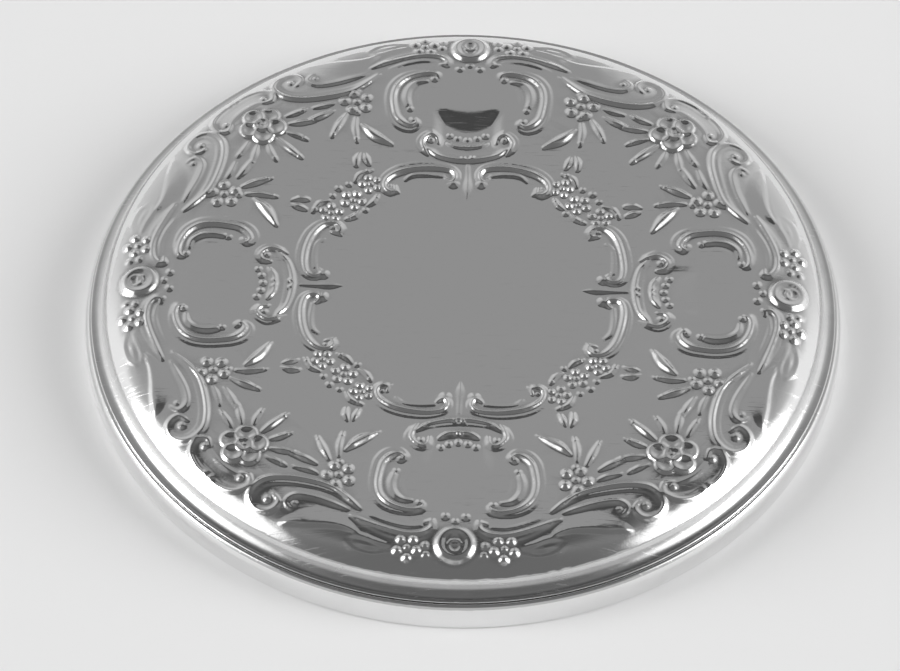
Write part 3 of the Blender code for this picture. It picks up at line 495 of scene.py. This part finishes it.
def shell_grid(forms):
    """The shell's outside as a grid of rings by turns, with the radii of the face's rings and the relief on
    them. On the face the height is the dome's plus the ornament's, whose places wander a little, as on
    hand-finished work. Beyond it the outline is turned."""
    plain = PLAIN_RADIUS * (np.arange(PLAIN_RINGS) + 1) / (PLAIN_RINGS + 1)
    face_radii = np.concatenate([plain, np.arange(PLAIN_RADIUS, FACE_EDGE, FINE_STEP), [FACE_EDGE]])
    ground = dome_height(face_radii)
    face = turned_grid(np.stack([face_radii, ground], 1), TURNS)
    shape = face.shape[:2]
    places = face[..., :2].reshape(-1, 2)
    wander = np.stack([ripple(places, seed, WANDER_LENGTH) for seed in (1, 2)], 1) * WANDER
    strokes, rounds = (part.reshape(shape) * RELIEF for part in relief_at(places / HUNDREDTH + wander, forms))
    relief = np.maximum(softened(strokes, 2), softened(rounds, 1))
    relief *= RELIEF_LEVEL + RELIEF_CHANGE * ripple(places, 4, RELIEF_LENGTH).reshape(shape)
    fade = np.clip((FACE_EDGE - face_radii) / (FACE_EDGE - RELIEF_EDGE), 0, 1)
    worked = softened(blurred((relief > 0).astype(float), 4), 2)
    uneven = GROUND_CHANGE * ripple(places, 3, GROUND_LENGTH).reshape(shape)
    uneven += WORKED_CHANGE * worked * ripple(places, 5, WORKED_LENGTH, WORKED_WAVES).reshape(shape)
    height = face[..., 2] - field_dip(places).reshape(shape) + MM * uneven + relief * fade[:, None]
    face[..., 2] = np.minimum(height, SHELL_HIGH.z - TOP_CLEARANCE)
    return np.concatenate([face, turned_grid(shell_outline(), TURNS)]), face_radii, relief


def grid_mesh(name, grid, middle=None, end_middle=None):
    """A closed-round grid of rings by turns as a mesh, with a fan to a middle point inside the first ring and
    one inside the last."""
    rings, turns = grid.shape[:2]
    index = np.arange(rings * turns).reshape(rings, turns)
    beside = np.roll(index, -1, 1)
    quads = np.stack([index[:-1], index[1:], beside[1:], beside[:-1]], 2).reshape(-1, 4)
    points = grid.reshape(-1, 3)
    corners = quads.ravel()
    starts = np.arange(len(quads)) * 4
    for point, near, far in ((middle, index[0], beside[0]), (end_middle, beside[-1], index[-1])):
        if point is None:
            continue
        fan = np.stack([np.full(turns, len(points)), near, far], 1)
        points = np.vstack([points, [point]])
        starts = np.concatenate([starts, len(corners) + np.arange(turns) * 3])
        corners = np.concatenate([corners, fan.ravel()])
    mesh = bpy.data.meshes.new(name)
    mesh.vertices.add(len(points))
    mesh.vertices.foreach_set("co", points.astype(np.float32).ravel())
    mesh.loops.add(len(corners))
    mesh.loops.foreach_set("vertex_index", corners.astype(np.int32))
    mesh.polygons.add(len(starts))
    mesh.polygons.foreach_set("loop_start", starts.astype(np.int32))
    mesh.update()
    mesh.validate()
    mesh.shade_smooth()
    return mesh


def new_object(name, data):
    """A new object in the scene."""
    found = bpy.data.objects.new(name, data)
    bpy.context.scene.collection.objects.link(found)
    return found


def modified(mesh, kind, **settings):
    """The mesh as one modifier leaves it, under the same name."""
    name = mesh.name
    holder = new_object("holder", mesh)
    modifier = holder.modifiers.new(kind, kind)
    for setting, value in settings.items():
        setattr(modifier, setting, value)
    graph = bpy.context.evaluated_depsgraph_get()
    found = bpy.data.meshes.new_from_object(holder.evaluated_get(graph))
    bpy.data.objects.remove(holder)
    bpy.data.meshes.remove(mesh)
    found.name = name
    return found


def piece_from(mesh, material):
    """Puts a mesh in the scene as a piece of the object, riding on its one body."""
    piece = new_object(mesh.name, mesh)
    mesh.materials.append(material)
    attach(piece, ROOT)
    return piece


def read_vectors(collection, name):
    """A vector of every item of a mesh's collection, as an array."""
    values = np.empty(len(collection) * 3, np.float32)
    collection.foreach_get(name, values)
    return values.reshape(-1, 3)


def sampled(field, radii, points):
    """A field on the face's rings and turns, read at points as the mean of the four grid points round each,
    weighed by how near they are along the ring and across the rings."""
    radius = np.hypot(points[:, 0], points[:, 1])
    ring = np.interp(radius, radii, np.arange(len(radii)))
    low = np.minimum(ring.astype(int), len(radii) - 2)
    rise = (ring - low)[:, None]
    turn = np.arctan2(points[:, 1], points[:, 0]) % (2 * math.pi) / (2 * math.pi) * TURNS
    left = turn.astype(int) % TURNS
    right = (left + 1) % TURNS
    go = (turn - np.floor(turn))[:, None]
    here = field[low, left] * (1 - go) + field[low, right] * go
    there = field[low + 1, left] * (1 - go) + field[low + 1, right] * go
    return here * (1 - rise) + there * rise


def grid_normals(grid):
    """Unit normals of a grid, from the cross product of its steps round and outwards."""
    round_step = np.roll(grid, -1, 1) - np.roll(grid, 1, 1)
    outward_step = np.gradient(grid, axis=0)
    normals = np.cross(outward_step, round_step)
    return normals / np.linalg.norm(normals, axis=2, keepdims=True)


def build_back(material):
    """The embossed silver back, in place of the part's plainer shell. Its facets are thinned, and each corner
    point keeps the fine grid's normal and, for the material, how far it lies under its surroundings, from which
    the material paints shade into its colour and dulls it."""
    grid, face_radii, relief = shell_grid(drawn_forms())
    normals = grid_normals(grid)[: len(face_radii)]
    # how far each place lies under its blurred surroundings: the mask of the painted shade in the recesses
    hollow = np.clip((blurred(relief, 3) - relief) / HOLLOW_DEPTH, 0, 1)
    mesh = grid_mesh("silver_back", grid, middle=(0, 0, float(dome_height(0.0))))
    mesh = modified(mesh, "DECIMATE", ratio=FACET_SHARE)
    points = read_vectors(mesh.vertices, "co").astype(float)
    radius = np.hypot(points[:, 0], points[:, 1])
    on_face = radius < FACE_EDGE - FINE_STEP
    hollows = sampled(hollow[..., None], face_radii, points)[:, 0]
    attribute = mesh.attributes.new("hollow", "FLOAT", "POINT")
    # painted shade and dullness: beyond the dome's edge, the cove, the bead and the skirt get a fixed share of a
    # full recess
    hollows = np.where(on_face, hollows, (radius > DOME_RADIUS) * COVE_SHADE_AND_DULLNESS)
    attribute.data.foreach_set("value", hollows.astype(np.float32))
    own = read_vectors(mesh.vertex_normals, "vector")
    chosen = np.where(on_face[:, None], sampled(normals, face_radii, points), own)
    mesh.normals_split_custom_set_from_vertices(chosen.astype(np.float32))
    piece = piece_from(mesh, material)
    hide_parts("back_shell")


def rounded(points, radius, steps):
    """The inner corners of an outline, each cut back by radius, or by SHORT_SIDE of a shorter side, and
    rounded: corner plus the cut back times (1 - t) squared plus the cut on times t squared."""
    t = np.linspace(0, 1, steps)[:, None]
    found = []
    for last, corner, following in zip(points, points[1:], points[2:]):
        back, on = last - corner, following - corner
        back *= min(radius / np.linalg.norm(back), SHORT_SIDE)
        on *= min(radius / np.linalg.norm(on), SHORT_SIDE)
        found.append(corner + back * (1 - t) ** 2 + on * t**2)
    return np.vstack(found)


def build_rim(material):
    """The plain band, with its burnished top edge leaning in on the skirt and its lip turned in below, as a
    closed rounded outline turned round the axis."""
    mouth = RIM_RADIUS - RIM_LEAN
    inner = RIM_RADIUS - RIM_WALL
    lip = RIM_RADIUS - LIP_REACH
    lean_base = RIM_TOP - RIM_LEAN_HEIGHT
    outline = np.array([
        (mouth, RIM_TOP),
        (RIM_RADIUS - RIM_LEAN / 2, RIM_TOP - RIM_LEAN_HEIGHT / 8),
        (RIM_RADIUS - RIM_LEAN / 5, RIM_TOP - RIM_LEAN_HEIGHT / 2),
        (RIM_RADIUS, lean_base),
        (RIM_RADIUS, LIP_ROUND),
        (RIM_RADIUS - LIP_ROUND / 3, LIP_ROUND / 3),
        (RIM_RADIUS - LIP_ROUND, 0),
        (lip + LIP_ROUND, 0),
        (lip, LIP_ROUND),
        (lip, LIP_THICKNESS),
        (inner, LIP_THICKNESS),
        (inner, lean_base - RIM_WALL / 2),
        (mouth, RIM_TOP - RIM_WALL),
    ])
    smooth = rounded(np.vstack([outline[-1:], outline, outline[:1]]), RIM_ROUND, 5)
    mesh = grid_mesh("silver_rim", turned_grid(np.vstack([smooth, smooth[:1]]), RIM_TURNS))
    mesh = modified(mesh, "WELD", merge_threshold=MM / 1000)
    mesh.shade_smooth()
    piece = piece_from(mesh, material)
    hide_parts("rim_band")


def build_glass(material):
    """The bevelled plate glass: flat back, upright edge and, below, a wide bevel round a flat front, each with
    its corners slightly rounded. The outline runs from the middle of the back to the middle of the front."""
    radius, front, back = GLASS_HIGH.x, GLASS_LOW.z, GLASS_HIGH.z
    flat = radius - BEVEL_WIDTH
    back_rings = np.array([(share * radius, back) for share in GLASS_BACK_RINGS])
    front_rings = np.array([(share * flat, front) for share in GLASS_FRONT_RINGS])
    corners = np.array([(radius, back), (radius, front + BEVEL_DEPTH), (flat, front)])
    edge = rounded(np.vstack([back_rings[-1:], corners, [(0, front)]]), ARRIS, 6)
    outline = np.vstack([back_rings, edge, front_rings])
    mesh = grid_mesh("bevelled_glass", turned_grid(outline, GLASS_TURNS), (0, 0, back), (0, 0, front))
    piece = piece_from(mesh, material)
    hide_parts("mirror_glass")


class Value:
    """A shader socket that takes part in sums as a number would."""

    def __init__(self, recipe, socket):
        self.recipe, self.socket = recipe, socket

    def math(self, operation, *others):
        return self.recipe.node("ShaderNodeMath", {"operation": operation}, dict(enumerate((self, *others))))

    def swapped(self, operation, other):
        return self.recipe.node("ShaderNodeMath", {"operation": operation}, {0: other, 1: self})

    def __add__(self, other):
        return self.math("ADD", other)

    def __radd__(self, other):
        return self.swapped("ADD", other)

    def __sub__(self, other):
        return self.math("SUBTRACT", other)

    def __rsub__(self, other):
        return self.swapped("SUBTRACT", other)

    def __mul__(self, other):
        return self.math("MULTIPLY", other)

    def __rmul__(self, other):
        return self.swapped("MULTIPLY", other)

    def __truediv__(self, other):
        return self.math("DIVIDE", other)


class Recipe:
    """The node tree of one material, or of the world."""

    def __init__(self, tree):
        self.tree = tree

    def feed(self, node, inputs):
        """Gives a node's sockets, by name or by number, their values or links."""
        for name, value in inputs.items():
            if isinstance(value, Value):
                self.tree.links.new(value.socket, node.inputs[name])
            else:
                node.inputs[name].default_value = value

    def node(self, kind, settings=None, inputs=None, output=0):
        """Adds a node: its settings first, then its sockets' values or links."""
        node = self.tree.nodes.new(kind)
        for name, value in (settings or {}).items():
            setattr(node, name, value)
        self.feed(node, inputs or {})
        return Value(self, node.outputs[output])

    def smooth(self, value, low, high, start=0.0, end=1.0):
        """Goes from start to end with an S-shaped rise as value goes from low to high."""
        ends = {"Value": value, "From Min": low, "From Max": high, "To Min": start, "To Max": end}
        return self.node("ShaderNodeMapRange", {"interpolation_type": "SMOOTHSTEP"}, ends)

    def noise(self, place, scale, detail=2.0, roughness=0.5):
        """Cloudy noise of 0 to 1 at a place, with scale in bumps per metre."""
        ends = {"Vector": place, "Scale": scale, "Detail": detail, "Roughness": roughness}
        return self.node("ShaderNodeTexNoise", {}, ends)

    def rubs(self, place, turn, scale, low, high):
        """Fine lines in one direction, at a turn about the upright axis: noise drawn out twenty times."""
        drawn = {"Vector": place, "Rotation": (0.0, 0.0, turn), "Scale": (1.0, 20.0, 1.0)}
        return self.smooth(self.noise(self.node("ShaderNodeMapping", {}, drawn), scale), low, high)

    def mix(self, factor, low, high):
        """A colour from low to high."""
        ends = {0: factor, 6: (*low, 1), 7: (*high, 1)}
        return self.node("ShaderNodeMix", {"data_type": "RGBA"}, ends, output=2)

    def bump(self, height, depth, strength):
        """The normal of a surface with a height of depth metres."""
        return self.node("ShaderNodeBump", {}, {"Strength": strength, "Distance": depth, "Height": height})


def new_material(name):
    """An empty material, its recipe, its surface shader and the object's own coordinates."""
    material = bpy.data.materials.new(name)
    material.use_nodes = True
    recipe = Recipe(material.node_tree)
    place = recipe.node("ShaderNodeTexCoord", output="Object")
    return material, recipe, material.node_tree.nodes["Principled BSDF"], place


def grey(level):
    """The colour of a neutral grey."""
    return level, level, level


def silver_material():
    """Struck silver: polished on the high points, with painted shade greying the recesses and the cove, which
    are also duller; greyer and duller in soft clouds, with fine scratches in two directions."""
    material, recipe, shader, place = new_material("struck silver")
    hollow = recipe.node("ShaderNodeAttribute", {"attribute_name": "hollow"}, output="Fac")
    cloud = recipe.noise(place, 160.0, 4.0, 0.6)
    fine = recipe.noise(place, 1400.0, 3.0, 0.6)
    rubs = recipe.rubs(place, 0.5, 260.0, 0.60, 0.74) + recipe.rubs(place, -0.9, 340.0, 0.62, 0.76)
    # painted shade: the recess share greys the base colour towards 0.42; with the clouds it also raises the
    # roughness
    shade_and_dullness = recipe.smooth(hollow * 0.8 + cloud * 0.35, 0.25, 1.0)
    recipe.feed(shader, {
        "Base Color": recipe.mix(shade_and_dullness, grey(0.87), grey(0.42)),
        "Roughness": 0.07 + shade_and_dullness * 0.25 + fine * 0.05 + rubs * 0.10,
        "Metallic": 1.0,
        "Normal": recipe.bump(fine + rubs * 0.5, 0.02 * MM, 0.25),
    })
    return material


def rim_material():
    """Plain polished silver with handling marks."""
    material, recipe, shader, place = new_material("rim silver")
    cloud = recipe.noise(place, 200.0, 4.0, 0.6)
    rubs = recipe.rubs(place, 0.3, 300.0, 0.58, 0.74)
    recipe.feed(shader, {
        "Base Color": recipe.mix(cloud, grey(0.82), grey(0.9)),
        "Roughness": 0.07 + cloud * 0.08 + rubs * 0.08,
        "Metallic": 1.0,
        "Normal": recipe.bump(rubs, 0.02 * MM, 0.2),
    })
    return material


def glass_material():
    """Clear plate glass with a faint green cast and faint smears of handling."""
    material, recipe, shader, place = new_material("plate glass")
    recipe.feed(shader, {
        "Base Color": recipe.mix(recipe.noise(place, 40.0), (0.90, 0.95, 0.92), (0.94, 0.97, 0.95)),
        "Roughness": recipe.rubs(place, 0.8, 90.0, 0.5, 0.8) * 0.05,
        "Transmission Weight": 1.0,
        "IOR": 1.52,
    })
    return material


def silvering_material():
    """Bright mirror coating with a few dimmer clouds, as on an old glass."""
    material, recipe, shader, place = new_material("silvering")
    dim = recipe.smooth(recipe.noise(place, 110.0, 5.0, 0.65), 0.62, 0.8)
    recipe.feed(shader, {
        "Base Color": recipe.mix(dim, grey(0.93), (0.72, 0.71, 0.68)),
        "Roughness": 0.02 + dim * 0.2,
        "Metallic": 1.0,
    })
    return material


def grained_material(name, dark, light, grain, roughness, depth):
    """A matt stuff whose colour goes cloudily from dark to light, with a bump of the same grain, whose scale
    is in bumps per metre and whose depth is in metres."""
    material, recipe, shader, place = new_material(name)
    cloud = recipe.noise(place, grain / 8, 3.0)
    fine = recipe.noise(place, grain, 5.0, 0.7)
    recipe.feed(shader, {
        "Base Color": recipe.mix(cloud * 0.5 + fine * 0.5, dark, light),
        "Roughness": roughness + fine * 0.1,
        "Normal": recipe.bump(fine, depth, 0.6),
    })
    return material


def dress_inner_parts():
    """Finishes for the parts that keep the frame's own shape, inside the mirror."""
    finishes = {"mirror_silvering": silvering_material()}
    for node, *finish in (
        ("backing_paint", "red oxide paint", (0.24, 0.06, 0.04), (0.42, 0.14, 0.10), 2500, 0.7, 0.01 * MM),
        ("packing_card", "grey card", (0.42, 0.38, 0.32), (0.62, 0.56, 0.48), 4000, 0.85, 0.03 * MM),
        ("filler_core", "cast filler", (0.30, 0.25, 0.20), (0.54, 0.47, 0.38), 1800, 0.8, 0.05 * MM),
        ("edge_packing", "paper strip", (0.52, 0.46, 0.38), (0.72, 0.66, 0.55), 5000, 0.85, 0.02 * MM),
    ):
        finishes[node] = grained_material(*finish)
    for node, material in finishes.items():
        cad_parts[node].material_slots[0].material = material


def build_floor():
    """A pale table top under the mirror."""
    side = TABLE_HALF_SIDE
    mesh = bpy.data.meshes.new("table_top")
    mesh.from_pydata([(-side, -side, 0), (side, -side, 0), (side, side, 0), (-side, side, 0)], [], [(0, 1, 2, 3)])
    floor = new_object("table_top", mesh)
    material, recipe, shader, _ = new_material("table top")
    recipe.feed(shader, {"Base Color": (*grey(0.82), 1), "Roughness": 0.7})
    mesh.materials.append(material)


def build_world():
    """The studio that the silver reflects: a grey far wall, darker in its middle; a near wall that darkens
    upwards; a dark ceiling; on each side a pale screen up to about 30 degrees, over it a soft round glow, and
    low in the glow a strong round lamp, 24 degrees above the table. x, y and z are the parts of a direction of
    unit length, with y away from the camera's side, and facing is that part of its level direction."""
    world = bpy.data.worlds.new("studio")
    bpy.context.scene.world = world
    world.use_nodes = True
    recipe = Recipe(world.node_tree)
    direction = recipe.node("ShaderNodeTexCoord", output="Generated")
    split = recipe.node("ShaderNodeSeparateXYZ", {}, {"Vector": direction}).socket.node
    x, y, z = (Value(recipe, output) for output in split.outputs)
    level = (x * x + y * y).math("SQRT").math("MAXIMUM", 0.0001)
    facing = y / level
    sideways = x.math("ABSOLUTE")

    def toward(place):
        """The cosine of the angle from a direction, the same for the left and the right side."""
        return sideways * place[0] + y * place[1] + z * place[2]

    def laid_over(light, share, new_light):
        """The light, replaced by a new one for a share."""
        return light + share * (new_light - light)

    far = recipe.smooth(z, 0.03, 0.5, *FAR_LEVELS)
    off_middle = recipe.smooth(z, 0.8, 0.5) * recipe.smooth(sideways / level, 0.05, 0.24)
    far = FAR_MIDDLE_LEVEL + off_middle * (far - FAR_MIDDLE_LEVEL)
    light = laid_over(far, recipe.smooth(facing, 0.1, -0.85), recipe.smooth(z, 0.33, 0.58, *NEAR_LEVELS))
    overhead = recipe.smooth(y - z * 0.22, -0.52, -0.18) * recipe.smooth(z, 0.86, 0.89)
    light = laid_over(light, overhead, recipe.smooth(y, 0.5, -0.25, *CEILING_LEVELS))
    beside = recipe.smooth(facing, 0.80, 0.50) * recipe.smooth(facing, -0.60, -0.30)
    light = laid_over(light, beside * recipe.smooth(z, 0.58, 0.36), SCREEN_LEVEL)
    light = laid_over(light, recipe.smooth(toward(GLOW_TOWARD), *GLOW_EDGE), GLOW_LEVEL)
    light = light + recipe.smooth(toward(LAMP_TOWARD), *LAMP_EDGE) * LAMP_LEVEL
    light = recipe.smooth(z, -0.02, 0.0) * (light - BELOW_LEVEL) + BELOW_LEVEL
    recipe.feed(world.node_tree.nodes["Background"], {"Color": (1, 1, 1, 1), "Strength": light})


def build_camera():
    """The camera, turned towards the object's middle, with the photo's roll and shift."""
    data = bpy.data.cameras.new("camera")
    data.sensor_width = SENSOR_WIDTH
    data.lens = FOCAL_PIXELS / PICTURE_WIDTH * SENSOR_WIDTH
    data.shift_x, data.shift_y = (shift / PICTURE_WIDTH for shift in SHIFT_PIXELS)
    data.clip_start = 10 * MM
    camera = new_object("camera", data)
    elevation = math.radians(CAMERA_ELEVATION)
    back = Vector((0, -math.cos(elevation), math.sin(elevation)))
    spin = Matrix.Rotation(math.radians(-CAMERA_YAW), 4, "Z")
    turn = (-back).to_track_quat("-Z", "Y").to_matrix().to_4x4()
    rolled = turn @ Matrix.Rotation(math.radians(-CAMERA_ROLL), 4, "Z")
    camera.matrix_world = spin @ Matrix.Translation(back * CAMERA_DISTANCE) @ rolled
    bpy.context.scene.camera = camera


build_back(silver_material())
build_rim(rim_material())
build_glass(glass_material())
dress_inner_parts()
build_floor()
build_world()
build_camera()
bpy.context.scene.view_settings.view_transform = "Standard"
